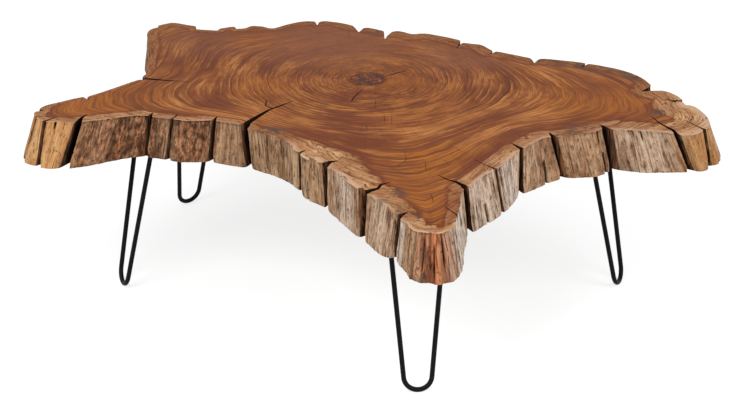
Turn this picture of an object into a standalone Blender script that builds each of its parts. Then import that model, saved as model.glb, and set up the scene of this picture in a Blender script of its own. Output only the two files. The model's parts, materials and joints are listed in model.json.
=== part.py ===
# Coffee table: a live-edge slice of a fluted trunk on four steel hairpin legs.
# Metres, +Z up, +Y to the back. The box round the table is centred on x = y = 0.
# The bends of the legs stand on z = 0.
import math

import bmesh
import bpy
from mathutils import Matrix, Vector

SLAB_LENGTH = 1.524
SLAB_DEPTH = 1.241
SLAB_THICKNESS = 0.095
UNDERSIDE_HEIGHT = 0.340
FLARE = 1.0
BACK_FLARE = 15.0
RIM_STEPS = 3

ROD_DIAMETER = 0.0105
BEND_RADIUS = 0.0293
ROD_SPREAD = math.radians(5.05)
LEG_LEAN = math.radians(11.2)

PLATE_LENGTH = 0.134
PLATE_DEPTH = 0.060
PLATE_THICKNESS = 0.004
PLATE_CORNER = 0.010
PLATE_OVERHANG = 0.014
WELD_SIZE = 0.004

SCREW_DIAMETER = 0.0050
SCREW_DEPTH = 0.030
HEAD_DIAMETER = 0.0105
HEAD_HEIGHT = 0.0030
RECESS_LENGTH = 0.0058
RECESS_WIDTH = 0.0012

GAP = 0.0003
ROUND_SIDES = 16
BEND_STEPS = 20
SHARP_ANGLE = math.radians(35)

# The rim of the top face, clockwise seen from above, in millimetres.
# A point is x, y and how far the underside stands out past the top there.
# Points without a third number stand on the back and take BACK_FLARE.
# Each edge runs smoothly from one crack or step to the next.
# The crack that follows is the line of its middle, from the mouth in to its tip.
# Where its mouth on the underside is known, that stands first: x, y, x, y of its two lips.
RIM = [
    ("left end", [(-710, -43, 28), (-722, -28, 44), (-734, 2, 37), (-730, 13, 28)],
     [(-714, 21)]),
    ("left arm, outer back", [(-728, 22, 24), (-716, 47, 20), (-690, 66, 18), (-643, 97), (-635, 92)],
     [(-626, 80)]),
    ("left arm, inner back", [(-633, 99), (-606, 123), (-570, 160, 12), (-535, 198, 10), (-524, 206, 10)],
     [(-504, 207), (-457, 197), (-416, 192)]),
    ("left side of the back lobe", [(-524, 219, 10), (-514, 250, 12), (-517, 320, 11), (-521, 400, 12),
                                    (-541, 498), (-537, 540), (-520, 555)],
     []),
    ("tip of the back lobe", [(-521, 568), (-505, 581), (-482, 587), (-431, 563)], []),
    ("back, first dip", [(-428, 542), (-400, 536), (-374, 533)], []),
    ("back, knuckle", [(-369, 547), (-341, 560), (-333, 553)], []),
    ("back, left swell", [(-331, 544), (-309, 549), (-293, 565), (-268, 561), (-240, 548), (-205, 578),
                          (-172, 598), (-139, 599)],
     [(-134, 573)]),
    ("back, middle", [(-130, 597), (-113, 600), (-80, 589), (-44, 565)], [(-32, 522)]),
    ("back, block", [(-21, 553), (-5, 551), (30, 527)], [(33, 498), (31, 474)]),
    ("back, right swell", [(47, 524), (66, 529), (96, 507), (128, 512), (164, 494), (213, 463)],
     [(200, 412)]),
    ("back, right", [(215, 448), (245, 438), (263, 427), (285, 389)], [(273, 366)]),
    ("right arm, inner back", [(292, 389), (324, 370), (372, 340)], [(377, 313)]),
    ("right arm, back", [(387, 335), (403, 337), (450, 325), (496, 309)], [(482, 281)]),
    ("right arm, outer back", [(500, 306), (538, 288), (580, 258, 18), (612, 217, 20), (629, 166, 20)],
     [(602, 132)]),
    ("right end, back block", [(626, 137, 20), (651, 140, 24), (673, 119, 26), (688, 83, 28)],
     [(645, 83)]),
    ("right end", [(687, 68, 28), (688, 51, 30), (704, 44, 28), (718, 10, 30), (725, -30, 27),
                   (722, -72, 18), (711, -88, 8)],
     [(734, -68, 730, -71), (700, -77), (674, -36)]),
    ("right end, front block", [(706, -92, -2), (689, -111, -5), (672, -119, -12), (650, -119, -20)],
     [(691, -93, 683, -101), (640, -92), (617, -53), (604, -13)]),
    ("right arm, outer front", [(642, -110, -9), (591, -97, 7), (549, -91, 13), (511, -89, 4)],
     [(531, -92, 515, -98), (490, -62)]),
    ("right arm, front", [(492, -83, 22), (474, -100, 21), (440, -114, 26), (390, -130, 16)],
     [(415, -133, 406, -138), (375, -103)]),
    ("right arm, inner front", [(379, -132, 20), (360, -135, 25), (316, -190, 18)],
     [(317, -215, 309, -213), (291, -162)]),
    ("right flank, upper", [(309, -199, 17), (279, -251, 22), (254, -298, 20)],
     [(273, -307, 269, -309), (236, -282), (211, -251)]),
    ("right flank, lower", [(251, -300, 22), (239, -309, 28), (221, -334, 27), (192, -386, 18)],
     [(202, -400, 193, -397), (182, -378), (168, -361), (150, -349), (133, -327)]),
    ("front lobe", [(181, -397, 11), (174, -424, 16), (171, -470, 12), (159, -547, 18), (153, -577, 18),
                    (129, -591, 36), (91, -584, 30), (76, -572, 12), (59, -534, 9), (55, -515, 10)],
     [(45, -521, 42, -515), (70, -489)]),
    ("left of the front lobe", [(50, -502, 16), (38, -484, 26), (16, -452, 24), (1, -418, 23),
                                (-12, -407, 16)],
     [(-16, -438, -23, -423), (-5, -391), (16, -376), (38, -361)]),
    ("left flank, lower", [(-27, -392, 13), (-37, -379, 13), (-75, -307, 11), (-92, -272, 9)],
     [(-93, -290, -97, -284), (-86, -247), (-67, -241)]),
    ("left flank, middle", [(-103, -253, 13), (-117, -244, 8), (-140, -225, 6), (-150, -202, 1)],
     [(-149, -204, -152, -198), (-139, -184)]),
    ("left flank, upper", [(-154, -195, -2), (-174, -162, -1), (-203, -127, -1), (-268, -74, 2)],
     [(-261, -82, -271, -79), (-262, -42), (-239, -2), (-225, 21), (-191, 56), (-170, 77)]),
    ("left arm, inner front", [(-281, -63, 11), (-300, -53, 14), (-338, -40, 11)],
     [(-349, -48, -356, -47), (-336, -19)]),
    ("left arm, front", [(-344, -37, 11), (-400, -39, 12), (-429, -30, 12), (-478, -16, 10)],
     [(-495, -20, -501, -19), (-476, 7)]),
    ("left arm, outer front", [(-485, -12, 10), (-510, -9, 15), (-586, -33, 28), (-625, -47, 26)],
     [(-657, -85, -674, -81), (-628, -25), (-618, -2)]),
    ("left end, front block", [(-639, -54, 29), (-672, -45, 41), (-703, -45, 35)],
     [(-719, -75, -726, -71), (-694, -30), (-683, -19)]),
]

# Where each leg meets the underside, in the same millimetres, and the way it leans out.
LEGS = [
    ("left", (-507, 61), math.radians(-157.5)),
    ("back", (-416, 428), math.radians(128.7)),
    ("front", (90, -380), math.radians(-86.3)),
    ("right", (503, 66), math.radians(-23.1)),
]
# Screw places as shares of a plate: along its length, and outward from the rods over its depth.
SCREW_PLACES = [(-0.30, -0.55), (0.30, -0.55), (-0.15, 0.0), (0.15, 0.0)]

PLATE_BOTTOM = UNDERSIDE_HEIGHT - GAP - PLATE_THICKNESS
ROD_TOP = PLATE_BOTTOM - GAP


def material(name, colour, roughness, metallic):
    made = bpy.data.materials.new(name)
    made.use_nodes = True
    shader = made.node_tree.nodes["Principled BSDF"]
    shader.inputs["Base Color"].default_value = (*colour, 1.0)
    shader.inputs["Roughness"].default_value = roughness
    shader.inputs["Metallic"].default_value = metallic
    return made


def mesh_from(bm, name, finish=None):
    bmesh.ops.recalc_face_normals(bm, faces=bm.faces[:])
    mesh = bpy.data.meshes.new(name)
    bm.to_mesh(mesh)
    bm.free()
    if finish:
        mesh.materials.append(finish)
    mesh.shade_smooth()
    mesh.set_sharp_from_angle(angle=SHARP_ANGLE)
    return mesh


def add(name, data, parent=None, location=(0, 0, 0)):
    made = bpy.data.objects.new(name, data)
    made.parent = parent
    made.location = location
    bpy.context.collection.objects.link(made)
    return made


def cut_by(target, name, bm):
    # Leaves a Boolean on the target, with its cutter out of sight.
    cutter = add(name, mesh_from(bm, name))
    cutter.hide_render = True
    cutter.display_type = "WIRE"
    step = target.modifiers.new(name, "BOOLEAN")
    step.operation = "DIFFERENCE"
    step.solver = "EXACT"
    step.object = cutter


def settled(shape):
    # The mesh of an object as its modifiers and bevel leave it; the object goes.
    bpy.context.view_layer.update()
    shapes = bpy.context.evaluated_depsgraph_get()
    mesh = bpy.data.meshes.new_from_object(shape.evaluated_get(shapes))
    for step in shape.modifiers:
        bpy.data.objects.remove(step.object)
    bpy.data.objects.remove(shape)
    return mesh


def add_drill(bm, place, low, high):
    middle = Matrix.Translation((0, 0, (low + high) / 2))
    radius = SCREW_DIAMETER / 2 + GAP
    bmesh.ops.create_cone(bm, cap_ends=True, segments=ROUND_SIDES, radius1=radius, radius2=radius,
                          depth=high - low, matrix=place @ middle)


def screw_spots():
    return [Vector((along * PLATE_LENGTH, outward * PLATE_DEPTH, 0)) for along, outward in SCREW_PLACES]


def smooth_through(points):
    # A Catmull-Rom curve through the points of one edge.
    result = []
    last = len(points) - 1
    for i in range(last):
        a = points[max(i - 1, 0)]
        b = points[i]
        c = points[i + 1]
        d = points[min(i + 2, last)]
        for k in range(RIM_STEPS):
            t = k / RIM_STEPS
            result.append(0.5 * (2 * b + (c - a) * t + (2 * a - 5 * b + 4 * c - d) * t ** 2
                                 + (3 * b - a - 3 * c + d) * t ** 3))
    result.append(points[last])
    return result


def rim_rings():
    # Matching top and underside outlines, in millimetres.
    edges = []
    for name, points, crack in RIM:
        through = [Vector((p[0], p[1], p[2] if len(p) > 2 else BACK_FLARE)) for p in points]
        line = smooth_through(through)
        window = 2 * RIM_STEPS
        flares = []
        for i, spot in enumerate(line):
            along = line[min(i + window, len(line) - 1)] - line[max(i - window, 0)]
            flares.append(Vector((-along.y, along.x)).normalized() * spot.z * FLARE)
        edges.append(([spot.xy for spot in line], flares, crack))
    # A known mouth leads its two lips. Other lips flare together, so no crack closes.
    leans = []
    for i, (above, flares, crack) in enumerate(edges):
        beside, other_flares, other_crack = edges[(i + 1) % len(edges)]
        here = (flares[-1] + other_flares[0]) / 2
        there = here
        for mouth in [p for p in crack if len(p) > 2]:
            here = Vector(mouth[:2]) - above[-1]
            there = Vector(mouth[2:]) - beside[0]
        leans.append((here - flares[-1], there - other_flares[0]))
    # The edge between two cracks leans over from the one to the other.
    for i, (above, flares, crack) in enumerate(edges):
        for k in range(len(flares)):
            flares[k] += leans[i - 1][1].lerp(leans[i][0], k / (len(flares) - 1))
    top = []
    bottom = []
    for i, (above, flares, crack) in enumerate(edges):
        top += above
        bottom += [spot + flare for spot, flare in zip(above, flares)]
        if not crack:
            continue
        beside, other_flares, other_crack = edges[(i + 1) % len(edges)]
        across = beside[0] - above[-1]
        lean = (flares[-1] + other_flares[0]) / 2
        closing = (across + other_flares[0] - flares[-1]).length / across.length
        path = [above[-1] + across / 2] + [Vector(p) for p in crack if len(p) == 2]
        ends = len(path) - 1
        going = []
        coming = []
        for k in range(1, ends):
            fade = 1 - k / ends
            ahead = (path[k + 1] - path[k - 1]).normalized()
            side = Vector((-ahead.y, ahead.x)) * across.length * 0.5 * fade ** 1.3
            going.append((path[k] - side, path[k] - side * closing + lean * fade))
            coming.append((path[k] + side, path[k] + side * closing + lean * fade))
        for spot, under in going + [(path[ends], path[ends])] + coming[::-1]:
            top.append(spot)
            bottom.append(under)
    return top, bottom


def slab_mesh(finish, top, bottom):
    bm = bmesh.new()
    upper = [bm.verts.new((p.x, p.y, UNDERSIDE_HEIGHT + SLAB_THICKNESS)) for p in top]
    lower = [bm.verts.new((p.x, p.y, UNDERSIDE_HEIGHT)) for p in bottom]
    for i in range(len(upper)):
        bm.faces.new((upper[i - 1], upper[i], lower[i], lower[i - 1]))
    bm.faces.new(upper[::-1])
    bm.faces.new(lower)
    bm.normal_update()
    bmesh.ops.triangulate(bm, faces=bm.faces[:])
    return mesh_from(bm, "slab", finish)


def slope_point(across, up):
    # A place on the leaning plane of a leg, from the middle of its bend.
    z = ROD_DIAMETER / 2 * math.cos(LEG_LEAN) + up * math.cos(LEG_LEAN)
    return Vector((across, (UNDERSIDE_HEIGHT - z) * math.tan(LEG_LEAN), z))


def rod_across(up):
    # How far a straight rod stands from the middle of its leg.
    tangent = BEND_RADIUS * (1 - math.sin(ROD_SPREAD))
    return BEND_RADIUS * math.cos(ROD_SPREAD) + math.tan(ROD_SPREAD) * (up - tangent)


def rod_mesh(finish):
    # One bar: down, round the bend that stands on the floor, and up again.
    reach = UNDERSIDE_HEIGHT / math.cos(LEG_LEAN)
    turn = math.pi / 2 - ROD_SPREAD
    line = [(-rod_across(reach), reach)]
    for k in range(BEND_STEPS + 1):
        angle = turn * (2 * k / BEND_STEPS - 1)
        line.append((BEND_RADIUS * math.sin(angle), BEND_RADIUS * (1 - math.cos(angle))))
    line.append((rod_across(reach), reach))
    curve = bpy.data.curves.new("rod", "CURVE")
    curve.dimensions = "3D"
    curve.bevel_depth = ROD_DIAMETER / 2
    curve.bevel_resolution = 6
    curve.use_fill_caps = True
    spline = curve.splines.new("POLY")
    spline.points.add(len(line) - 1)
    for point, (across, up) in zip(spline.points, line):
        point.co = (*slope_point(across, up), 1.0)
    bm = bmesh.new()
    bm.from_mesh(settled(add("rod", curve)))
    bmesh.ops.remove_doubles(bm, verts=bm.verts[:], dist=1e-6)
    lowest = min(v.co.z for v in bm.verts)
    bmesh.ops.translate(bm, vec=(0, 0, -lowest), verts=bm.verts[:])
    # Both ends are cut level, to meet the plate.
    bmesh.ops.bisect_plane(bm, geom=bm.verts[:] + bm.edges[:] + bm.faces[:], plane_co=(0, 0, ROD_TOP),
                           plane_no=(0, 0, 1), clear_outer=True)
    bmesh.ops.holes_fill(bm, edges=[edge for edge in bm.edges if edge.is_boundary])
    return mesh_from(bm, "rod", finish)


def plate_mesh(finish):
    bm = bmesh.new()
    bmesh.ops.create_cube(bm, size=1.0)
    bmesh.ops.scale(bm, vec=(PLATE_LENGTH, PLATE_DEPTH, PLATE_THICKNESS), verts=bm.verts[:])
    upright = [e for e in bm.edges if abs(e.verts[0].co.z - e.verts[1].co.z) > PLATE_THICKNESS / 2]
    bmesh.ops.bevel(bm, geom=upright, offset=PLATE_CORNER, segments=6, profile=0.5, affect="EDGES",
                    material=-1)
    inward = PLATE_OVERHANG - PLATE_DEPTH / 2
    bmesh.ops.translate(bm, vec=(0, inward, PLATE_BOTTOM + PLATE_THICKNESS / 2), verts=bm.verts[:])
    plate = add("plate", mesh_from(bm, "plate", finish))
    drills = bmesh.new()
    for spot in screw_spots():
        add_drill(drills, Matrix.Translation(spot), PLATE_BOTTOM - PLATE_THICKNESS,
                  PLATE_BOTTOM + 2 * PLATE_THICKNESS)
    cut_by(plate, "plate_holes", drills)
    return settled(plate)


def weld_mesh(finish, side):
    # A fillet round the end of one rod, under the plate.
    axis = Vector((side * math.tan(ROD_SPREAD), -math.sin(LEG_LEAN), math.cos(LEG_LEAN))).normalized()
    up = ROD_TOP / math.cos(LEG_LEAN) - ROD_DIAMETER / 2
    end = slope_point(side * rod_across(up), up)
    # Its section, as shares of the weld's size: outward from the rod, then up to the plate.
    section = [(0.0, 0.0), (0.0, 1.0), (1.0, 1.0), (0.55, 0.55), (0.12, 0.0)]
    bm = bmesh.new()
    rings = []
    for k in range(ROUND_SIDES):
        angle = 2 * math.pi * k / ROUND_SIDES
        way = Vector((math.cos(angle), math.sin(angle), 0))
        rod_wall = (ROD_DIAMETER / 2 + GAP) / math.sqrt(1 - way.dot(axis) ** 2)
        ring = []
        for out, high in section:
            down = WELD_SIZE * (1 - high)
            middle = end - axis * (down / axis.z)
            ring.append(bm.verts.new(middle + way * (rod_wall + WELD_SIZE * out)))
        rings.append(ring)
    for k in range(ROUND_SIDES):
        for m in range(len(section)):
            bm.faces.new((rings[k - 1][m - 1], rings[k][m - 1], rings[k][m], rings[k - 1][m]))
    return mesh_from(bm, "weld", finish)


def screw_mesh(finish):
    # Pan-head wood screw with a cross recess, its head under the plate.
    tip = UNDERSIDE_HEIGHT + SCREW_DEPTH
    shank = SCREW_DIAMETER / 2
    head = HEAD_DIAMETER / 2
    profile = [(0.0, tip), (shank, tip - SCREW_DIAMETER), (shank, ROD_TOP), (head, ROD_TOP),
               (head, ROD_TOP - 0.35 * HEAD_HEIGHT), (0.86 * head, ROD_TOP - 0.75 * HEAD_HEIGHT),
               (0.55 * head, ROD_TOP - HEAD_HEIGHT), (0.0, ROD_TOP - HEAD_HEIGHT)]
    bm = bmesh.new()
    line = [bm.verts.new((radius, 0, z)) for radius, z in profile]
    outline = [bm.edges.new(pair) for pair in zip(line[:-1], line[1:])]
    bmesh.ops.spin(bm, geom=line + outline, cent=(0, 0, 0), axis=(0, 0, 1), angle=2 * math.pi,
                   steps=ROUND_SIDES, use_merge=True)
    bmesh.ops.remove_doubles(bm, verts=bm.verts[:], dist=1e-6)
    screw = add("screw", mesh_from(bm, "screw", finish))
    for name, size in (("slot_along", (RECESS_LENGTH, RECESS_WIDTH, HEAD_HEIGHT)),
                       ("slot_across", (RECESS_WIDTH, RECESS_LENGTH, HEAD_HEIGHT))):
        slot = bmesh.new()
        bmesh.ops.create_cube(slot, size=1.0)
        bmesh.ops.scale(slot, vec=size, verts=slot.verts[:])
        bmesh.ops.translate(slot, vec=(0, 0, ROD_TOP - HEAD_HEIGHT), verts=slot.verts[:])
        cut_by(screw, name, slot)
    return settled(screw)


def build():
    for old in list(bpy.data.objects):
        bpy.data.objects.remove(old)
    wood = material("slab_wood", (0.36, 0.16, 0.07), 0.45, 0.0)
    coat = material("black_coat", (0.02, 0.02, 0.022), 0.4, 0.0)
    steel = material("screw_steel", (0.08, 0.08, 0.085), 0.35, 1.0)
    rod = rod_mesh(coat)
    plate = plate_mesh(coat)
    welds = [weld_mesh(coat, -1), weld_mesh(coat, 1)]
    screw = screw_mesh(steel)

    top, bottom = rim_rings()
    xs = [p.x for p in top + bottom]
    ys = [p.y for p in top + bottom]
    centre = Vector(((max(xs) + min(xs)) / 2, (max(ys) + min(ys)) / 2))
    stretch = Vector((SLAB_LENGTH / (max(xs) - min(xs)), SLAB_DEPTH / (max(ys) - min(ys))))
    top = [(p - centre) * stretch for p in top]
    bottom = [(p - centre) * stretch for p in bottom]
    slab = add("slab", slab_mesh(wood, top, bottom))

    pilots = bmesh.new()
    for name, spot, heading in LEGS:
        # The empty at each leg turns its x along the plate and its y outward.
        middle = (Vector(spot) - centre) * stretch
        mount = add("mount_" + name, None, None, (middle.x, middle.y, 0))
        mount.rotation_euler.z = heading - math.pi / 2
        place = Matrix.Translation(mount.location) @ mount.rotation_euler.to_matrix().to_4x4()
        add("leg_" + name, rod, mount)
        add("plate_" + name, plate, mount)
        for k, weld in enumerate(welds):
            add("weld_%s_%d" % (name, k + 1), weld, mount)
        for k, spot in enumerate(screw_spots()):
            add("screw_%s_%d" % (name, k + 1), screw, mount, spot)
            add_drill(pilots, place @ Matrix.Translation(spot), UNDERSIDE_HEIGHT - PLATE_THICKNESS,
                      UNDERSIDE_HEIGHT + SCREW_DEPTH + GAP)
    cut_by(slab, "pilot_holes", pilots)


build()
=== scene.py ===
import json
import math

import bmesh
import bpy
import numpy as np
from mathutils import Matrix, Vector, noise
from mathutils.kdtree import KDTree

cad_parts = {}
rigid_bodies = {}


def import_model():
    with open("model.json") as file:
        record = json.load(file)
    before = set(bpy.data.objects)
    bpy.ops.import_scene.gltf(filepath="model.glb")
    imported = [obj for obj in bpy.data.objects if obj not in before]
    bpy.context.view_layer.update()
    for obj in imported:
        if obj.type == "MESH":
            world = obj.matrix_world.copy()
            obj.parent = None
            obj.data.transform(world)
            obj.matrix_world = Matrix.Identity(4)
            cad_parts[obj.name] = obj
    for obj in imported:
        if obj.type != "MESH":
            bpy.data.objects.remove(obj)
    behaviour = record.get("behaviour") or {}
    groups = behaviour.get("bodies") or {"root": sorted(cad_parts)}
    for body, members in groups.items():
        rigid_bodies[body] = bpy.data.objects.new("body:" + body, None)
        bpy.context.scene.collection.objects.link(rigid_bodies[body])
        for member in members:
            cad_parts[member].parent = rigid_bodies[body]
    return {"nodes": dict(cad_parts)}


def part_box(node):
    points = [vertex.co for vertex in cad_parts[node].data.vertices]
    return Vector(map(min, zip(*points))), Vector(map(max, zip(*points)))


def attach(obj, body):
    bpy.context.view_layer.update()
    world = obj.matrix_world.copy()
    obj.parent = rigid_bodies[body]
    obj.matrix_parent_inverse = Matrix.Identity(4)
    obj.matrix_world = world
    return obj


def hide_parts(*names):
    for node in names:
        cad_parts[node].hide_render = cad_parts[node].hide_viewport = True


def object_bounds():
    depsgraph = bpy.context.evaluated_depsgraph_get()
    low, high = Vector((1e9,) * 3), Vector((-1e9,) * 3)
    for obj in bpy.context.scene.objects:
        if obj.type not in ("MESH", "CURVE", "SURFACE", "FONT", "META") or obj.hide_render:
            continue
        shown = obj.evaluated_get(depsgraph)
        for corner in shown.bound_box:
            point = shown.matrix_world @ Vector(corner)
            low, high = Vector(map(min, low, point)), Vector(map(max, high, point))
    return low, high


for old in list(bpy.data.objects):
    bpy.data.objects.remove(old)
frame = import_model()
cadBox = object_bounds()
scene = bpy.context.scene
scene.view_settings.view_transform = "Standard"
print("frame loaded,", len(frame["nodes"]), "nodes")


# small helpers for shader trees

def startMaterial(name):
    made = bpy.data.materials.new(name)
    made.use_nodes = True
    tree = made.node_tree
    tree.nodes.clear()
    out = tree.nodes.new("ShaderNodeOutputMaterial")
    shader = tree.nodes.new("ShaderNodeBsdfPrincipled")
    tree.links.new(shader.outputs["BSDF"], out.inputs["Surface"])
    return made, tree, shader


def feed(tree, socket, value):
    if isinstance(value, bpy.types.NodeSocket):
        tree.links.new(value, socket)
    elif isinstance(value, tuple) and len(value) == 3 and socket.type == "RGBA":
        socket.default_value = (*value, 1.0)
    else:
        socket.default_value = value


def calc(tree, operation, first, second=None, third=None):
    node = tree.nodes.new("ShaderNodeMath")
    node.operation = operation
    for socket, value in zip(node.inputs, (first, second, third)):
        if value is not None:
            feed(tree, socket, value)
    return node.outputs[0]


def times(tree, first, *others):
    for other in others:
        first = calc(tree, "MULTIPLY", first, other)
    return first


def plus(tree, value, amount, rest):
    # value times amount, added to the rest
    return calc(tree, "MULTIPLY_ADD", value, amount, rest)


def centred(tree, value):
    # noise about 0 instead of 0.5
    return calc(tree, "SUBTRACT", value, 0.5)


def vectorCalc(tree, operation, first, second):
    node = tree.nodes.new("ShaderNodeVectorMath")
    node.operation = operation
    feed(tree, node.inputs[0], first)
    feed(tree, node.inputs[1], second)
    return node.outputs["Value" if operation in ("LENGTH", "DOT_PRODUCT") else "Vector"]


def fade(tree, value, low, high, toLow=0.0, toHigh=1.0):
    # smooth step from low to high
    node = tree.nodes.new("ShaderNodeMapRange")
    node.interpolation_type = "SMOOTHSTEP"
    for key, given in (("Value", value), ("From Min", low), ("From Max", high),
                       ("To Min", toLow), ("To Max", toHigh)):
        feed(tree, node.inputs[key], given)
    return node.outputs["Result"]


def blendColour(tree, share, first, second, how="MIX"):
    node = tree.nodes.new("ShaderNodeMix")
    node.data_type = "RGBA"
    node.blend_type = how
    feed(tree, node.inputs[0], share)
    feed(tree, node.inputs[6], first)
    feed(tree, node.inputs[7], second)
    return node.outputs[2]


def ramp(tree, value, stops):
    node = tree.nodes.new("ShaderNodeValToRGB")
    band = node.color_ramp
    while len(band.elements) < len(stops):
        band.elements.new(0.5)
    for element, (place, colour) in zip(band.elements, stops):
        element.position = place
        element.color = (*colour, 1.0)
    feed(tree, node.inputs[0], value)
    return node.outputs["Color"]


def grain(tree, vector, scale, detail=3.0, rough=0.5, twist=0.0):
    node = tree.nodes.new("ShaderNodeTexNoise")
    feed(tree, node.inputs["Vector"], vector)
    node.inputs["Scale"].default_value = scale
    node.inputs["Detail"].default_value = detail
    node.inputs["Roughness"].default_value = rough
    node.inputs["Distortion"].default_value = twist
    return node.outputs["Fac"]


def attribute(tree, name, output="Fac"):
    node = tree.nodes.new("ShaderNodeAttribute")
    node.attribute_name = name
    return node.outputs[output]


def objectSpot(tree):
    return tree.nodes.new("ShaderNodeTexCoord").outputs["Object"]


def stretched(tree, vector, scale):
    node = tree.nodes.new("ShaderNodeMapping")
    feed(tree, node.inputs["Vector"], vector)
    node.inputs["Scale"].default_value = scale
    return node.outputs["Vector"]


def joined(tree, x, y, z):
    node = tree.nodes.new("ShaderNodeCombineXYZ")
    for socket, value in zip(node.inputs, (x, y, z)):
        feed(tree, socket, value)
    return node.outputs[0]


def bumped(tree, shader, height, depth, strength=1.0):
    node = tree.nodes.new("ShaderNodeBump")
    node.inputs["Strength"].default_value = strength
    node.inputs["Distance"].default_value = depth
    feed(tree, node.inputs["Height"], height)
    tree.links.new(node.outputs["Normal"], shader.inputs["Normal"])


# slab

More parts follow.
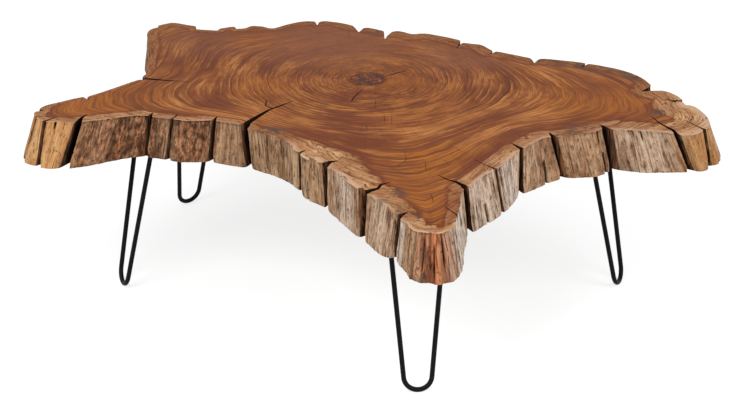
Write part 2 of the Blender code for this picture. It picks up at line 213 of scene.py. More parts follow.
slab = {
    "node": "slab",
    "pith": (-0.010, 0.214),         # heart of the trunk, on the top face
    # facets
    "column": 0.0033,                # widest along the wall
    "crackColumn": 0.0075,           # widest inside a crack
    "lipColumn": 0.0016,             # widest at the lip of a crack and beside a split
    "row": 0.0056,                   # height of a row of the wall
    "edgeRows": [0.0, 0.0007, 0.0019, 0.0038, 0.0068],  # closer rows, down from the top edge
    "footRows": [0.0035, 0.0012, 0.0],                  # closer rows, up from the lower edge
    "footClear": 0.006,              # even rows end this far above the lower edge
    "topFacet": 0.0065,              # grid of the top face
    "rimClear": 0.0045,              # how far the grid keeps off the rim and the slits
    # cracks of the rim
    "crackReach": 0.045,             # lips closer than this face each other across a crack
    "openShare": 0.9,                # a gap wider than this share of the reach is open wall
    "tipRun": 0.014,                 # an open stretch shorter than this is the tip of a crack
    "bridgeRun": 0.0047,             # a crack shorter than this along the rim is open wall
    "mouthRun": 0.030,               # a crack reaches out this far at most to the corner at its mouth
    "mouthTurn": math.radians(30),   # and that corner is at least this sharp
    "knot": 24,                      # crossings of a row are looked for this many columns on
    "knotTurns": 80,                 # and smoothed at most this often
    # edges and relief of the wall
    "wear": (30, 0.5, 0.9),          # wear of the edges: pattern per metre, least, and what is added
    "lip": 0.0010,                   # rounding of the sawn edge
    "lipRun": 0.0038,                # and how far down it goes
    "foot": 0.0012,                  # rounding of the lower edge
    "footRun": 0.007,                # and how far up it goes
    "corner": 0.0022,                # rounding where a crack meets the wall
    "cornerRun": 0.0032,             # and how far along the wall it goes
    "heel": 0.010,                   # how far from a crack its lower corners are worn round
    "heelRise": 0.020,               # and how far up
    "heelTurns": 24,                 # turns of smoothing at the lower edge
    "proud": 0.0024,                 # how far the wall stands out before furrows cut it
    "furrowRun": 0.004,              # furrows reach their depth this far below the top edge
    "furrowFull": 0.006,             # a furrow this deep gets the darkest painted shade
    "crackCalm": 0.75,               # how much less furrowed the inside of a crack is
    "splitReach": 0.006,             # facets this near to a split are narrow
    "splitRunOut": 0.008,            # a split grows shallow over this length at its ends
    "boxClear": 0.0001,              # the wall stays this far inside the frame's box
    # furrows: pattern across and down per metre, depth
    "swell": (24, 5, 0.0024),
    "fibre": (95, 7, 0.0024),
    "fineFibre": (230, 15, 0.0009),
    "barkPit": (105, 62, 0.0034),
    "barkLump": (60, 38, 0.0026),
    "gash": (130, 22, 0.0055),       # where the wood is torn
    # growth rings
    "roundTo": 0.41,                 # rings run out at the rim where it comes nearer to the pith than this
    "ringCore": 0.85,                # size of the round core, as a share of the slab's mean reach
    "ringShape": (0.58, 1.04),       # rings change from round to the outline between these
    "ringSpread": 8.5,               # degrees over which the outline is evened out for them
    "lobeReach": 0.11,               # nearer to the rim than this, rings bend round a lobe
    "lobeBend": 0.7,                 # and this much
    # lobes: place, radius, strength
    "lobes": [(0.105, -0.48, 0.10, 1.5), (-0.66, 0.0, 0.09, 1.0), (0.62, 0.04, 0.09, 1.0)],
    # sapwood
    "sapBlend": 0.045,               # its widths blend over this distance along the rim
    "raggedScale": 45,               # pattern of its broken edge, per metre
    "drySink": 0.0007,               # how far it has dried out below the heartwood
    # thin cracks beside those of the frame: mouth on the rim to the tip, and the width of the mouth
    "thinCracks": [
        ([(-0.732, -0.012), (-0.7056, -0.0071)], 0.0030),
        ([(-0.4315, -0.0245), (-0.425, -0.010), (-0.4209, 0.0044)], 0.0034),
        ([(-0.2247, 0.0312), (-0.2333, 0.0507), (-0.2329, 0.0861)], 0.0034),
        ([(0.1665, -0.512), (0.1601, -0.5029), (0.1403, -0.4688)], 0.0036),
    ],
    # slits in the top face away from the rim: ends or bends, widest opening, depth
    "slits": [
        ([(0.026, 0.229), (0.045, 0.243), (0.064, 0.257), (0.086, 0.273)], 0.0034, 0.012),
        ([(-0.018, 0.158), (-0.033, 0.119), (-0.042, 0.095), (-0.047, 0.066)], 0.0026, 0.014),
        ([(0.0675, -0.194), (0.0705, -0.2465), (0.0375, -0.299)], 0.0012, 0.008),
        ([(0.042, 0.016), (0.043, -0.034), (0.042, -0.0815)], 0.0010, 0.008),
        ([(0.1155, -0.404), (0.119, -0.434), (0.120, -0.464)], 0.0012, 0.008),
        ([(0.168, -0.175), (0.182, -0.196), (0.198, -0.211)], 0.0012, 0.008),
        ([(-0.0127, -0.055), (-0.0109, -0.072), (-0.0094, -0.091)], 0.0012, 0.006),
        ([(0.0256, 0.010), (0.0272, -0.024), (0.028, -0.063)], 0.0010, 0.006),
        ([(0.0069, 0.104), (0.0079, 0.068), (0.0067, 0.027)], 0.0009, 0.006),
        ([(0.109, -0.245), (0.1094, -0.276), (0.1104, -0.308)], 0.0013, 0.008),
        ([(0.1479, -0.245), (0.1537, -0.258), (0.1601, -0.278)], 0.0013, 0.008),
        ([(0.518, 0.016), (0.533, 0.013), (0.552, 0.010)], 0.0010, 0.006),
        ([(0.632, 0.134), (0.648, 0.129), (0.664, 0.119)], 0.0012, 0.006),
        ([(0.598, 0.045), (0.625, 0.012), (0.655, -0.022)], 0.0014, 0.008),
    ],
    # splits in the wall: a place on it, then its upper and lower end, depth and half width
    "wallSplits": [
        ((-0.6815, -0.0402, 0.430), 0.436, 0.414, 0.011, 0.0022),
        ((0.4728, -0.0828, 0.435), 0.436, 0.401, 0.010, 0.0024),
        ((0.5710, -0.0801, 0.435), 0.436, 0.402, 0.007, 0.0016),
        ((0.2361, -0.3470, 0.347), 0.380, 0.330, 0.016, 0.0036),
        ((0.3691, -0.1520, 0.353), 0.386, 0.330, 0.016, 0.0038),
        ((0.5015, -0.0975, 0.352), 0.384, 0.330, 0.018, 0.0042),
        ((0.2436, -0.3128, 0.398), 0.436, 0.350, 0.006, 0.0014),
        ((0.2673, -0.2830, 0.397), 0.430, 0.365, 0.005, 0.0014),
        ((0.2030, -0.3770, 0.388), 0.430, 0.345, 0.005, 0.0013),
        ((0.0295, -0.4840, 0.390), 0.430, 0.350, 0.005, 0.0016),
        ((0.0410, -0.4985, 0.380), 0.420, 0.345, 0.006, 0.0018),
        ((-0.0604, -0.3441, 0.368), 0.430, 0.350, 0.004, 0.0012),
        ((0.0960, -0.5980, 0.386), 0.424, 0.350, 0.0060, 0.0012),
        ((0.1176, -0.6030, 0.387), 0.414, 0.350, 0.0060, 0.0012),
        ((0.1355, -0.5975, 0.400), 0.426, 0.366, 0.0070, 0.0013),
        ((-0.2445, -0.0856, 0.435), 0.436, 0.350, 0.008, 0.0016),
        ((-0.2206, -0.0966, 0.435), 0.436, 0.404, 0.006, 0.0016),
        ((-0.1328, -0.2357, 0.345), 0.380, 0.330, 0.009, 0.0022),
        ((-0.0541, -0.3429, 0.425), 0.425, 0.345, 0.008, 0.0018),
    ],
    # patches of wall finish: place, radius, strength
    "bark": [(-0.575, -0.03, 0.050, 0.75), (-0.505, -0.01, 0.06, 1.0), (-0.445, -0.02, 0.035, 0.5),
             (-0.385, -0.04, 0.05, 0.9), (-0.30, -0.06, 0.03, 0.35), (0.46, -0.10, 0.06, 0.45),
             (0.385, -0.135, 0.045, 0.42), (0.55, 0.28, 0.10, 0.7), (-0.52, 0.35, 0.12, 0.8),
             (-0.20, 0.60, 0.16, 0.7), (0.20, 0.50, 0.12, 0.6)],
    "grey": [(0.160, -0.52, 0.060, 1.0), (0.160, -0.46, 0.040, 1.0), (0.050, -0.52, 0.020, 0.9),
             (0.015, -0.45, 0.040, 0.25), (-0.06, -0.34, 0.040, 0.5), (0.22, -0.34, 0.050, 0.6),
             (0.28, -0.25, 0.040, 0.8), (0.33, -0.16, 0.030, 0.1), (0.57, -0.09, 0.050, 0.3)],
    "fresh": [(-0.735, -0.02, 0.07, 1.0), (-0.672, -0.055, 0.05, 1.0), (0.70, -0.10, 0.05, 0.9)],
    "torn": [(0.115, -0.60, 0.030, 1.0)],
    # width of the pale sapwood band on the top face, at places along the rim
    "sapwood": [(-0.73, 0.0, 0.020), (-0.62, -0.04, 0.028), (-0.50, -0.01, 0.026), (-0.40, -0.04, 0.026),
                (-0.30, -0.05, 0.020), (-0.26, -0.08, 0.022), (-0.20, -0.13, 0.030), (-0.15, -0.20, 0.052),
                (-0.10, -0.26, 0.066), (-0.05, -0.36, 0.056), (0.0, -0.42, 0.044), (0.05, -0.51, 0.036),
                (0.10, -0.59, 0.034), (0.155, -0.57, 0.018), (0.175, -0.44, 0.022), (0.22, -0.34, 0.034),
                (0.28, -0.25, 0.042), (0.33, -0.17, 0.038), (0.39, -0.13, 0.036), (0.48, -0.09, 0.044),
                (0.58, -0.09, 0.044), (0.67, -0.12, 0.075), (0.72, -0.03, 0.085), (0.69, 0.08, 0.070),
                (0.65, 0.13, 0.050), (0.60, 0.23, 0.026), (0.50, 0.30, 0.032), (0.38, 0.33, 0.034),
                (0.25, 0.43, 0.034), (0.10, 0.50, 0.034), (0.0, 0.54, 0.032), (-0.13, 0.59, 0.026),
                (-0.25, 0.55, 0.014), (-0.40, 0.53, 0.016), (-0.50, 0.57, 0.022), (-0.53, 0.45, 0.022),
                (-0.52, 0.30, 0.014), (-0.54, 0.19, 0.008), (-0.65, 0.09, 0.008)],
    # tones of the top face: place, radius, strength
    "pale": [(0.70, 0.02, 0.10, 0.9), (0.66, -0.08, 0.06, 0.9), (-0.12, -0.22, 0.07, 1.0),
             (-0.05, -0.35, 0.06, 1.0), (0.02, -0.44, 0.05, 0.7), (0.10, -0.58, 0.06, 1.0),
             (0.23, -0.33, 0.05, 0.9), (0.28, -0.24, 0.05, 0.8), (0.36, -0.15, 0.05, 0.6),
             (0.55, -0.08, 0.08, 0.6), (-0.70, -0.02, 0.05, 0.5), (-0.55, -0.02, 0.12, 0.6),
             (-0.38, -0.04, 0.10, 0.6)],
    "golden": [(-0.262, 0.508, 0.07, 0.9), (-0.555, 0.09, 0.08, 0.8), (0.12, -0.26, 0.09, 1.0),
               (0.105, -0.46, 0.08, 0.9), (0.50, 0.08, 0.10, 1.0), (-0.24, 0.16, 0.06, 0.5),
               (0.06, 0.10, 0.12, 0.4), (0.07, 0.19, 0.05, 0.8), (-0.61, 0.05, 0.06, 0.8),
               (0.0, 0.30, 0.10, 0.4)],
    # places of the flame figure: light streaks across the rings, partly the wood's figure and partly a
    # painted sheen
    "flame": [(0.50, 0.08, 0.10, 1.0), (0.60, 0.075, 0.05, 0.8), (-0.61, 0.05, 0.06, 0.9),
              (-0.54, 0.08, 0.05, 0.4), (0.12, -0.26, 0.07, 0.25)],
    "russet": [(-0.38, 0.045, 0.09, 0.7), (-0.08, -0.12, 0.10, 0.9), (0.02, 0.0, 0.14, 0.9),
               (0.31, -0.06, 0.09, 0.9), (0.42, -0.05, 0.05, 1.0), (0.52, -0.04, 0.04, 0.9),
               (0.225, -0.255, 0.045, 0.8), (-0.22, 0.40, 0.16, 0.5), (0.49, 0.18, 0.07, 0.6),
               (-0.02, 0.42, 0.12, 0.3), (-0.39, 0.42, 0.10, 0.7), (0.24, 0.33, 0.10, 0.15),
               (0.60, 0.015, 0.035, 0.8)],
    "stain": [(-0.215, -0.09, 0.028, 0.9), (0.625, 0.015, 0.016, 0.8), (0.44, -0.09, 0.04, 0.6),
              (0.018, -0.436, 0.014, 0.6), (0.044, -0.476, 0.014, 0.6), (0.060, -0.405, 0.018, 0.6),
              (0.076, -0.452, 0.016, 0.6), (0.088, -0.498, 0.014, 0.8), (0.58, 0.25, 0.05, 0.8),
              (0.50, 0.30, 0.05, 0.6), (0.42, 0.325, 0.05, 0.5), (0.02, 0.545, 0.03, 0.6)],
    # places at the back where the figure is faint and a greyer painted sheen lies over the top
    "faintFigureAndSheen": [(-0.10, 0.47, 0.16, 0.8), (0.22, 0.37, 0.10, 0.7), (-0.40, 0.47, 0.10, 0.6)],
    # places along the arms and by the pith where the rings are faint
    "plain": [(-0.61, 0.06, 0.07, 0.7), (0.54, 0.09, 0.09, 0.8), (0.07, 0.20, 0.05, 0.6)],
    # places where the sapwood has broken away from the top edge: place, radius, depth
    "chips": [(-0.135, -0.195, 0.040, 0.007), (-0.085, -0.250, 0.036, 0.006), (0.012, -0.395, 0.036, 0.006),
              (0.062, -0.500, 0.034, 0.006), (0.105, -0.575, 0.036, 0.003), (0.66, 0.125, 0.040, 0.002),
              (0.645, 0.060, 0.030, 0.0025), (-0.25, -0.085, 0.030, 0.004)],
}
slabFinish = {"top": 0, "wall": 1, "under": 2, "crack": 3}    # order of the slab's materials
offWall, inSlit = -1, -2             # stand in for the column of a point that isn't on the wall


def walk(edges):
    # vertices of one closed loop of edges, in order
    following = {}
    for edge in edges:
        for vert in edge.verts:
            following.setdefault(vert, []).append(edge.other_vert(vert))
    first = edges[0].verts[0]
    loop = [first]
    last, here = None, first
    while True:
        ahead = [v for v in following[here] if v is not last]
        last, here = here, ahead[0]
        if here is first:
            return loop
        loop.append(here)


def area(spots):
    return 0.5 * sum(a.x * b.y - b.x * a.y for a, b in zip(spots[-1:] + spots[:-1], spots))


def clockwise(edges):
    # points of a closed ring of edges, clockwise from above
    loop = walk(edges)
    if area([v.co for v in loop]) > 0:
        loop.reverse()
    return loop


def frameOutlines(node):
    # matching outlines of the frame's slab, top and underside
    bm = bmesh.new()
    bm.from_mesh(frame["nodes"][node].data)
    bmesh.ops.remove_doubles(bm, verts=bm.verts[:], dist=1e-5)
    bm.normal_update()
    middle = (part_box(node)[0].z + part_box(node)[1].z) / 2
    uprights = set()                 # pairs of points joined from top to underside
    for edge in bm.edges:
        heights = sorted(v.co.z for v in edge.verts)
        if heights[0] < middle < heights[1]:
            uprights.add(frozenset(edge.verts))
    tied = {v for pair in uprights for v in pair}
    loops = []
    for side in (1, -1):
        loops.append(clockwise([e for e in bm.edges if all(v in tied for v in e.verts)
                                and sum(f.normal.z * side > 0.9 for f in e.link_faces) == 1
                                and frozenset(e.verts) not in uprights]))
    upper, lower = loops
    count = len(upper)

    def matches(shift):
        return sum(frozenset((upper[i], lower[(i + shift) % count])) in uprights for i in range(count))

    shift = max(range(count), key=matches)
    pairs = [(upper[i].co.copy(), lower[(i + shift) % count].co.copy()) for i in range(count)]
    bm.free()
    return pairs


def openCrack(bm, flare, path, width):
    # opens a thin crack in the rim by bending new points of one rim edge in along the path
    path = [Vector((x, y, bm.verts[0].co.z)) for x, y in path]

    def gap(edge):
        a, b = (v.co for v in edge.verts)
        share = max(0.0, min(1.0, (path[0] - a).dot(b - a) / (b - a).length_squared))
        return (a.lerp(b, share) - path[0]).length

    edge = min(bm.edges, key=gap)
    start, end = (v.co.copy() for v in edge.verts)
    along = (end - start).normalized()
    length = edge.calc_length()
    share = max(0.25, min(0.75, (path[0] - start).dot(along) / length))    # clear of the edge's ends
    mouth = start.lerp(end, share)
    width = min(width, 0.4 * length)
    slope = edge.verts[0][flare].lerp(edge.verts[1][flare], share)
    steps = len(path) - 1
    made = bmesh.ops.subdivide_edges(bm, edges=[edge], cuts=2 * steps + 1)["geom_inner"]
    made = [g for g in made if isinstance(g, bmesh.types.BMVert)]
    made.sort(key=lambda v: (v.co - start).length)
    spots = []
    for k in range(steps):
        ahead = path[k + 1] - path[max(k - 1, 0)]
        side = Vector((-ahead.y, ahead.x, 0)).normalized()
        if side.dot(along) < 0:
            side = -side
        left = 1 - k / steps         # the crack narrows towards its tip
        side = (along if k == 0 else side) * width * 0.5 * left ** 0.7
        spots.append((mouth if k == 0 else path[k], side, left))
    drop = Vector((0, 0, slope.z))
    run = [(spot - side, share) for spot, side, share in spots] + [(path[-1], 0.0)]
    run += [(spot + side, share) for spot, side, share in reversed(spots)]
    for vert, (spot, share) in zip(made, run):
        vert.co = spot
        vert[flare] = Vector((slope.x, slope.y, 0)) * share + drop


def towards(spots, places):
    # how strongly each spot takes part in a list of round patches, which fade from 0.6 to 1.6 of their radius
    strength = np.zeros(len(spots))
    for x, y, radius, amount in places:
        away = np.hypot(spots[:, 0] - x, spots[:, 1] - y) / radius
        strength = np.maximum(strength, amount * np.clip(1.6 - away, 0, 1))
    return strength


def smooth(low, high, value):
    share = np.clip((value - low) / (high - low), 0, 1)
    return share * share * (3 - 2 * share)


def acrossGap(spots, outward, reach):
    # distance from each rim point, straight out, to the facing lip of a crack
    ahead = np.roll(spots, -1, axis=0)
    run = ahead - spots
    gaps = np.full(len(spots), reach)
    for i, (spot, way) in enumerate(zip(spots, outward)):
        toward = spots - spot
        cross = way[0] * run[:, 1] - way[1] * run[:, 0]
        cross = np.where(np.abs(cross) < 1e-12, 1e-12, cross)
        far = (toward[:, 0] * run[:, 1] - toward[:, 1] * run[:, 0]) / cross
        share = (toward[:, 0] * way[1] - toward[:, 1] * way[0]) / cross
        hit = far[(far > 2e-4) & (share >= 0) & (share <= 1)]
        if len(hit):
            gaps[i] = min(reach, hit.min())
    return gaps


def closeRuns(flags, step, value, shortest):
    # turns short runs of one value round the rim into the other, such as the tip of a crack
    flags = flags.copy()
    starts = [i for i in range(len(flags)) if flags[i] == value and flags[i - 1] != value]
    for first in starts:
        run, length, i = [], 0.0, first
        while flags[i] == value:
            run.append(i)
            length += step[i]
            i = (i + 1) % len(flags)
        if length < shortest:
            flags[run] = 1 - value
    return flags


def reachCorners(deep, spots, step, farthest):
    # takes each crack out to the sharp corner at its mouth
    ahead = np.roll(spots, -1, axis=0) - spots
    behind = np.roll(ahead, 1, axis=0)
    turn = np.arctan2(behind[:, 0] * ahead[:, 1] - behind[:, 1] * ahead[:, 0], (behind * ahead).sum(1))
    deep = deep.copy()
    count = len(deep)
    for side in (-1, 1):
        ends = [i for i in range(count) if deep[i] > 0.5 and deep[(i + side) % count] < 0.5]
        for end in ends:
            run, length, i = [], 0.0, end
            while length < farthest:
                length += step[i if side > 0 else i - 1]
                i = (i + side) % count
                run.append(i)
                if turn[i] < -slab["mouthTurn"]:
                    deep[run] = 1.0
                    break
    return deep


def untangle(spots):
    # smooths the few places where a row of points round the slab crosses itself
    def side(a, b, c):
        return (b[:, 0] - a[:, 0]) * (c[:, 1] - a[:, 1]) - (b[:, 1] - a[:, 1]) * (c[:, 0] - a[:, 0])

    for turn in range(slab["knotTurns"]):
        ahead = np.roll(spots, -1, axis=0)
        crossed = np.zeros(len(spots), bool)
        for k in range(2, slab["knot"]):
            other, beyond = np.roll(spots, -k, axis=0), np.roll(ahead, -k, axis=0)
            hit = side(spots, ahead, other) * side(spots, ahead, beyond) < 0
            hit &= side(other, beyond, spots) * side(other, beyond, ahead) < 0
            for i in np.flatnonzero(hit):
                crossed[np.arange(i - 1, i + k + 3) % len(spots)] = True
        if not crossed.any():
            return turn
        middle = (np.roll(spots, 1, axis=0) + np.roll(spots, -1, axis=0)) / 2
        spots[crossed, :2] += 0.5 * (middle - spots)[crossed, :2]
    return slab["knotTurns"]


def furrowDepth(x, y, z, bark):
    # how far weather has eaten into the wall, in the column that starts at x, y on the rim
    def pattern(name, lift=0):
        across, down, depth = slab[name]
        return (x * across, y * across, z * down + lift), depth

    spot, depth = pattern("swell")
    eaten = depth * (0.5 + 0.5 * noise.noise(spot))
    for name, lift, sharp in (("fibre", 9, 6), ("fineFibre", 31, 4)):
        spot, depth = pattern(name, lift)
        eaten += depth * (1 - abs(noise.noise(spot))) ** sharp
    if bark > 0.02:
        spot, depth = pattern("barkPit")
        pits = depth * max(0.0, 1 - noise.voronoi(spot)[0][0] / 0.42)
        spot, depth = pattern("barkLump", 5)
        eaten += bark * (pits + depth * (0.5 + 0.5 * noise.noise(spot)))
    return eaten


def treeOf(spots):
    tree = KDTree(len(spots))
    for i, spot in enumerate(spots):
        tree.insert((spot[0], spot[1], 0.0), i)
    tree.balance()
    return tree


def gridInside(bm, outline, keepOff, z):
    # a fine grid over the part of the top face that lies clear of the rim and the slits
    low, high = outline.min(0), outline.max(0)
    cell = slab["topFacet"]
    across, deepwise = (int(n) for n in np.ceil((high - low) / cell))
    middle = (low + high) / 2
    place = Matrix.Translation((*middle, z)) @ Matrix.Diagonal((across * cell, deepwise * cell, 1, 1))
    verts = bmesh.ops.create_grid(bm, x_segments=across, y_segments=deepwise, size=0.5, matrix=place)["verts"]
    tree = treeOf(keepOff)
    ahead = np.roll(outline, -1, axis=0)
    crossings = {}

    def inside(x, y):
        key = round(y, 5)
        if key not in crossings:
            cut = (outline[:, 1] > y) != (ahead[:, 1] > y)
            a, b = outline[cut], ahead[cut]
            crossings[key] = np.sort(a[:, 0] + (y - a[:, 1]) * (b[:, 0] - a[:, 0]) / (b[:, 1] - a[:, 1]))
        return np.searchsorted(crossings[key], x) % 2 == 1

    off = [v for v in verts if not inside(v.co.x, v.co.y) or tree.find((*v.co.xy, 0.0))[2] < slab["rimClear"]]
    verts = set(verts) - set(off)
    bmesh.ops.delete(bm, geom=off, context="VERTS")
    while True:
        # no loose points, and no places where the edge of the grid meets itself
        odd = [v for v in verts if not v.link_faces or sum(e.is_boundary for e in v.link_edges) not in (0, 2)]
        if not odd:
            break
        verts -= set(odd)
        bmesh.ops.delete(bm, geom=odd, context="VERTS")
    faces = {f for v in verts for f in v.link_faces}
    for face in faces:
        face.material_index = slabFinish["top"]
    return list(faces), list({e for f in faces for e in f.edges if e.is_boundary})


def ringCoordinate(spots, rim, away):
    # 0 at the pith, about 1 on the rim: rings start round and take on the outline as they grow
    pith = np.array(slab["pith"])
    bins = 720                       # of half a degree
    window = 60                      # evening out reaches this many to each side

    def bearing(out):
        return np.arctan2(out[:, 1], out[:, 0]) / (2 * math.pi) % 1 * bins

    # reach of the slab from the pith at each bearing, evened out
    out = rim["top"][rim["deep"] < 0.5, :2] - pith
    reach = np.zeros(bins)
    np.maximum.at(reach, bearing(out).astype(int), np.hypot(out[:, 0], out[:, 1]))
    known = np.flatnonzero(reach)
    reach = np.interp(np.arange(bins), known, reach[known], period=bins)
    spread = np.exp(-0.5 * (np.arange(-window, window + 1) / (slab["ringSpread"] * bins / 360)) ** 2)
    reach = np.concatenate([reach[-window:], reach, reach[:window]])
    reach = np.convolve(reach, spread / spread.sum(), "valid")

    # the ring that has grown as far as each spot, by halving
    out = spots - pith
    limit = np.interp(bearing(out), np.arange(bins + 1), np.append(reach, reach[0]))
    limit = np.maximum(limit, slab["roundTo"])
    radius = np.hypot(out[:, 0], out[:, 1])
    mean = np.sqrt((reach ** 2).mean()) * slab["ringCore"]
    low, high = np.zeros(len(spots)), np.full(len(spots), 2.0)
    for halving in range(24):
        ring = (low + high) / 2
        grown = ring * (mean + (limit - mean) * smooth(*slab["ringShape"], ring))
        low, high = np.where(grown < radius, ring, low), np.where(grown < radius, high, ring)
    bend = np.clip(slab["lobeReach"] - away, 0, None) ** 2 / slab["lobeReach"]
    return ring + towards(spots, slab["lobes"]) * slab["lobeBend"] * bend


def sapwoodShare(spots, rim):
    # distance in from the open rim, and the same as a share of the sapwood's width there
    top = rim["top"]
    clear = np.flatnonzero(rim["deep"] < 0.5)
    places = np.array(slab["sapwood"])
    near = np.hypot(top[:, None, 0] - places[None, :, 0], top[:, None, 1] - places[None, :, 1])
    weight = np.exp(-(near / slab["sapBlend"]) ** 2) + 1e-9 / (near + 0.01)
    width = (weight * places[None, :, 2]).sum(1) / weight.sum(1)
    tree = treeOf(top[clear])
    found = [tree.find((x, y, 0.0)) for x, y in spots[:, :2]]
    away = np.array([f[2] for f in found])
    return away, away / width[clear[np.array([f[1] for f in found])]]


def breakSapwood(spots, edgeShare, rim):
    # lowers the top where sapwood has broken away, and all the sapwood a little where it is dry
    scale = slab["raggedScale"]
    ragged = np.array([noise.fractal((x * scale, y * scale, 1.7), 0.8, 2.0, 3) for x, y in spots[:, :2]])
    drop = np.zeros(len(spots))
    for x, y, radius, depth in slab["chips"]:
        off = np.hypot(spots[:, 0] - x, spots[:, 1] - y) / radius + 0.5 * ragged
        drop = np.maximum(drop, depth * smooth(1.0, 0.86, off))
    drop *= smooth(1.05, 0.90, edgeShare + 0.25 * ragged)
    drop += smooth(1.0, 0.7, edgeShare) * slab["drySink"] * (0.5 + 0.5 * np.clip(ragged, -1, 1))
    floor = rim["zTop"] - rim["height"]
    spots[:, 2] = floor + (spots[:, 2] - floor) * (1 - drop / rim["height"])


def finishSlab(bm, column, rim):
    # the slab's mesh, with an attribute for each thing that its finishes follow
    sides = (slabFinish["wall"], slabFinish["crack"])
    wall = {v for f in bm.faces if f.material_index in sides for v in f.verts}
    columns = np.array([v[column] if v in wall else offWall for v in bm.verts])
    mesh = bpy.data.meshes.new("slab_live_edge")
    bm.to_mesh(mesh)
    bm.free()
    count = len(mesh.vertices)
    spots = np.empty(count * 3, np.float32)
    mesh.vertices.foreach_get("co", spots)
    spots = spots.reshape(-1, 3).astype(float)
    away, edgeShare = sapwoodShare(spots, rim)
    breakSapwood(spots, edgeShare, rim)
    mesh.vertices.foreach_set("co", spots.astype(np.float32).ravel())

    onWall = columns >= 0
    pick = np.where(onWall, columns, 0)
    row = np.searchsorted(rim["drops"], rim["zTop"] - spots[:, 2] - 1e-4)
    row = np.clip(row, 0, len(rim["drops"]) - 1)
    values = {
        "ring": ringCoordinate(spots[:, :2], rim, away),
        "edge": edgeShare,
        # furrow depth, which the wall darkens with as painted shade
        "furrow": np.where(onWall, rim["furrows"][row, pick] / slab["furrowFull"], 0),
        # deep and inside mark cracks and how far into them a point lies, which the painted shade in the
        # cracks follows
        "deep": np.where(onWall, rim["deep"][pick], columns == inSlit),
        "inside": np.where(onWall, rim["mouth"][pick] / slab["mouthRun"], 1),
    }
    for name in ("pale", "golden", "russet", "flame", "plain", "stain", "faintFigureAndSheen"):
        values[name] = towards(spots, slab[name])
    for name in ("bark", "fresh", "torn", "grey"):
        values[name] = np.where(onWall, rim[name][pick], 0)
    for name, given in values.items():
        layer = mesh.attributes.new(name, "FLOAT", "POINT")
        layer.data.foreach_set("value", given.astype(np.float32))
    # fibres of the wall run down from the rim, so each point also keeps where its column starts
    start = spots.copy()
    start[onWall, :2] = rim["top"][columns[onWall], :2]
    layer = mesh.attributes.new("start", "FLOAT_VECTOR", "POINT")
    layer.data.foreach_set("vector", start.astype(np.float32).ravel())
    mesh.shade_smooth()
    mesh.set_sharp_from_angle(angle=math.radians(55))
    made = bpy.data.objects.new("slab_live_edge", mesh)
    scene.collection.objects.link(made)
    print("slab:", count, "points,", len(mesh.polygons), "faces")
    return made


def startRim(pairs):
    # the rim as one ring of edges, each point with the slope of the wall under it
    bm = bmesh.new()
    bm.verts.layers.float_vector.new("flare")
    bm.verts.layers.int.new("column")
    flare, column = bm.verts.layers.float_vector["flare"], bm.verts.layers.int["column"]
    verts = []
    for top, under in pairs:
        vert = bm.verts.new(top)
        vert[flare] = under - top
        verts.append(vert)
    for a, b in zip(verts[-1:] + verts[:-1], verts):
        bm.edges.new((a, b))
    for path, width in slab["thinCracks"]:
        bm.verts.ensure_lookup_table()
        openCrack(bm, flare, path, width)
    return bm, flare, column


def outwardWays(spots, span):
    # unit vectors out of the slab, for points that run clockwise round it
    way = np.roll(spots, -span, axis=0) - np.roll(spots, span, axis=0)
    outward = np.stack([-way[:, 1], way[:, 0]], axis=1)
    return outward / np.maximum(np.linalg.norm(outward, axis=1), 1e-9)[:, None]


def besideSplit(edge, flare):
    # whether a split of the wall runs through the facet under this edge of the rim
    a, b = edge.verts
    for split in slab["wallSplits"]:
        spot = Vector(split[0])
        share = (a.co.z - spot.z) / -a[flare].z
        first = a.co + a[flare] * share
        along = b.co + b[flare] * share - first
        reach = max(0.0, min(1.0, (spot - first).dot(along) / along.length_squared))
        if (first + along * reach - spot).length < slab["splitReach"]:
            return True
    return False


def evenRim(bm, flare):
    # cuts the rim into even facets, wider inside cracks, narrower at their lips and beside splits
    loop = clockwise(bm.edges[:])
    spots = np.array([v.co.xy for v in loop])
    gaps = acrossGap(spots, outwardWays(spots, 1), slab["crackReach"])
    inCrack = {v: g < slab["crackReach"] * slab["openShare"] for v, g in zip(loop, gaps)}
    cuts = {}
    for edge in bm.edges:
        a, b = edge.verts
        length = max(edge.calc_length(), ((a.co + a[flare]) - (b.co + b[flare])).length)
        facet = slab["crackColumn"] if inCrack[a] and inCrack[b] else slab["column"]
        if inCrack[a] != inCrack[b] or besideSplit(edge, flare):
            facet = slab["lipColumn"]
        cuts.setdefault(math.ceil(length / facet) - 1, []).append(edge)
    for count, edges in cuts.items():
        if count > 0:
            bmesh.ops.subdivide_edges(bm, edges=edges, cuts=count)


def crackColumns(spots, outward, step):
    # 1 for each column of the wall that lies in a crack, 0 on the open wall
    gaps = acrossGap(spots, outward, slab["crackReach"])
    deep = (gaps < slab["crackReach"] * slab["openShare"]).astype(float)
    deep = closeRuns(deep, step, 0.0, slab["tipRun"])
    deep = closeRuns(deep, step, 1.0, slab["bridgeRun"])
    return reachCorners(deep, spots, step, slab["mouthRun"])


def alongToMouth(deep, step):
    # how far along the rim the next mouth of a crack is
    count = len(deep)
    mouth = np.where(deep != np.roll(deep, 1), 0.0, 1.0)
    for turn in range(2):
        for i in range(count):
            mouth[i] = min(mouth[i], mouth[i - 1] + step[i - 1])
        for i in range(count - 1, -1, -1):
            mouth[i] = min(mouth[i], mouth[(i + 1) % count] + step[i])
    return mouth


def splitRuns(top, lean, step):
    # how deep each split of the wall cuts, column by column
    arc = np.cumsum(step) - step
    around = step.sum()
    runs = []
    for (x, y, z), high, low, depth, half in slab["wallSplits"]:
        level = top + lean * ((top[0, 2] - z) / -lean[0, 2])
        home = np.argmin(np.hypot(level[:, 0] - x, level[:, 1] - y))
        off = np.abs(arc - arc[home])
        off = np.minimum(off, around - off)
        runs.append((depth * np.clip(1 - off / half, 0, 1) ** 0.7, high, low))
    return runs


